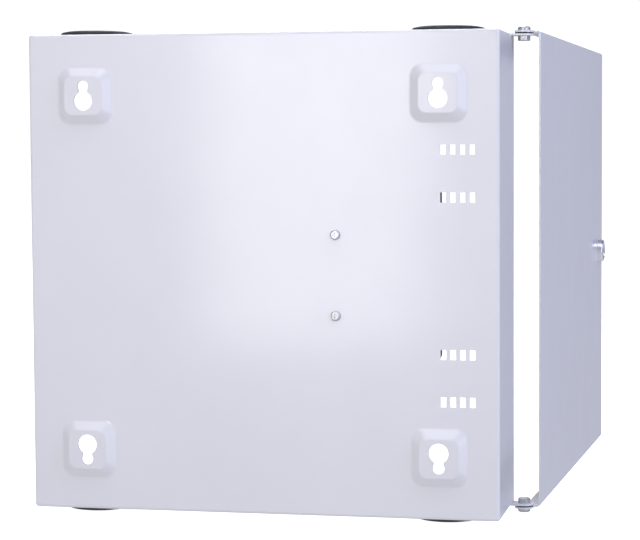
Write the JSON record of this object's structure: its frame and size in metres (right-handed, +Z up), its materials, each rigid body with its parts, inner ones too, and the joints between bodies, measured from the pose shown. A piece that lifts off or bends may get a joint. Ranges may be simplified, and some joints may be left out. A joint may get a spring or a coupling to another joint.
{
  "type": "fiber termination box",
  "caption": "Shallow square wall box of painted sheet steel with a side-hinged locking door, raised keyhole pads behind, a splice tray, an adapter panel and rubber cable grommets.",
  "frame": {"origin": "centre of the wall plane, which the four raised mounting pads touch; midway between the four keyholes", "axes": "+Z up, +Y into the wall, -Y the way the door faces, -X the hinge side"},
  "size_m": [0.3341, 0.372, 0.3092],
  "materials": {
    "painted_steel": "semi-gloss light grey powder coat",
    "zinc_steel": "bright zinc plate",
    "chrome": "polished",
    "black_rubber": "matt",
    "foam": "open-cell foam",
    "black_plastic": "moulded ABS",
    "white_plastic": "moulded",
    "clear_plastic": "clear polycarbonate",
    "brass": "knurled",
    "green_plastic": "moulded",
    "cap_plastic": "soft translucent"
  },
  "bodies": {
    "housing": {"adapter_01": "green_plastic", "adapter_02": "green_plastic", "adapter_03": "green_plastic", "adapter_04": "green_plastic", "adapter_05": "green_plastic", "adapter_06": "green_plastic", "adapter_07": "green_plastic", "adapter_08": "green_plastic", "adapter_09": "green_plastic", "adapter_10": "green_plastic", "adapter_11": "green_plastic", "adapter_12": "green_plastic", "adapter_panel": "painted_steel", "adapter_screws": "zinc_steel", "anchor_lock_nuts": "zinc_steel", "anchor_nuts": "zinc_steel", "anchor_plates": "zinc_steel", "anchor_studs": "zinc_steel", "bracket_nuts": "zinc_steel", "bracket_screws": "zinc_steel", "earth_nut": "zinc_steel", "earth_stud": "zinc_steel", "earth_washer": "zinc_steel", "fibre_clip_bottom": "black_plastic", "fibre_clip_patch_bottom": "black_plastic", "fibre_clip_patch_top": "black_plastic", "fibre_clip_top": "black_plastic", "grommet_bottom_hinge_side": "black_rubber", "grommet_bottom_lock_side": "black_rubber", "grommet_top_hinge_side": "black_rubber", "grommet_top_lock_side": "black_rubber", "hinge_nuts": "zinc_steel", "hinge_screws": "zinc_steel", "hinge_washers": "black_plastic", "housing": "painted_steel", "lock_keeper": "painted_steel", "panel_nuts": "zinc_steel", "panel_studs": "zinc_steel", "patch_side_caps": "cap_plastic", "pigtail_side_caps": "cap_plastic", "splice_comb_lower": "white_plastic", "splice_comb_upper": "white_plastic", "splice_tray": "black_plastic", "tray_bracket": "zinc_steel", "tray_cover": "clear_plastic", "tray_nuts": "brass", "tray_screws": "zinc_steel"},
    "door": {"door": "painted_steel", "door_gasket": "foam", "lock_barrel": "chrome", "lock_nut": "zinc_steel"},
    "lock_cylinder": {"lock_plug": "chrome", "lock_cam": "zinc_steel", "lock_cam_screw": "zinc_steel"}
  },
  "joints": [
    {"name": "door_hinge", "type": "hinge", "parent": "housing", "child": "door", "pos_m": [-0.1574, -0.063, 0], "axis": [0, 0, 1], "range_deg": [-87.5, 92.5]},
    {"name": "lock_turn", "type": "hinge", "parent": "door", "child": "lock_cylinder", "pos_m": [-0.17928, -0.34862, -0.0025], "axis": [0.999, -0.0436, 0], "range_deg": [0, 90]}
  ]
}
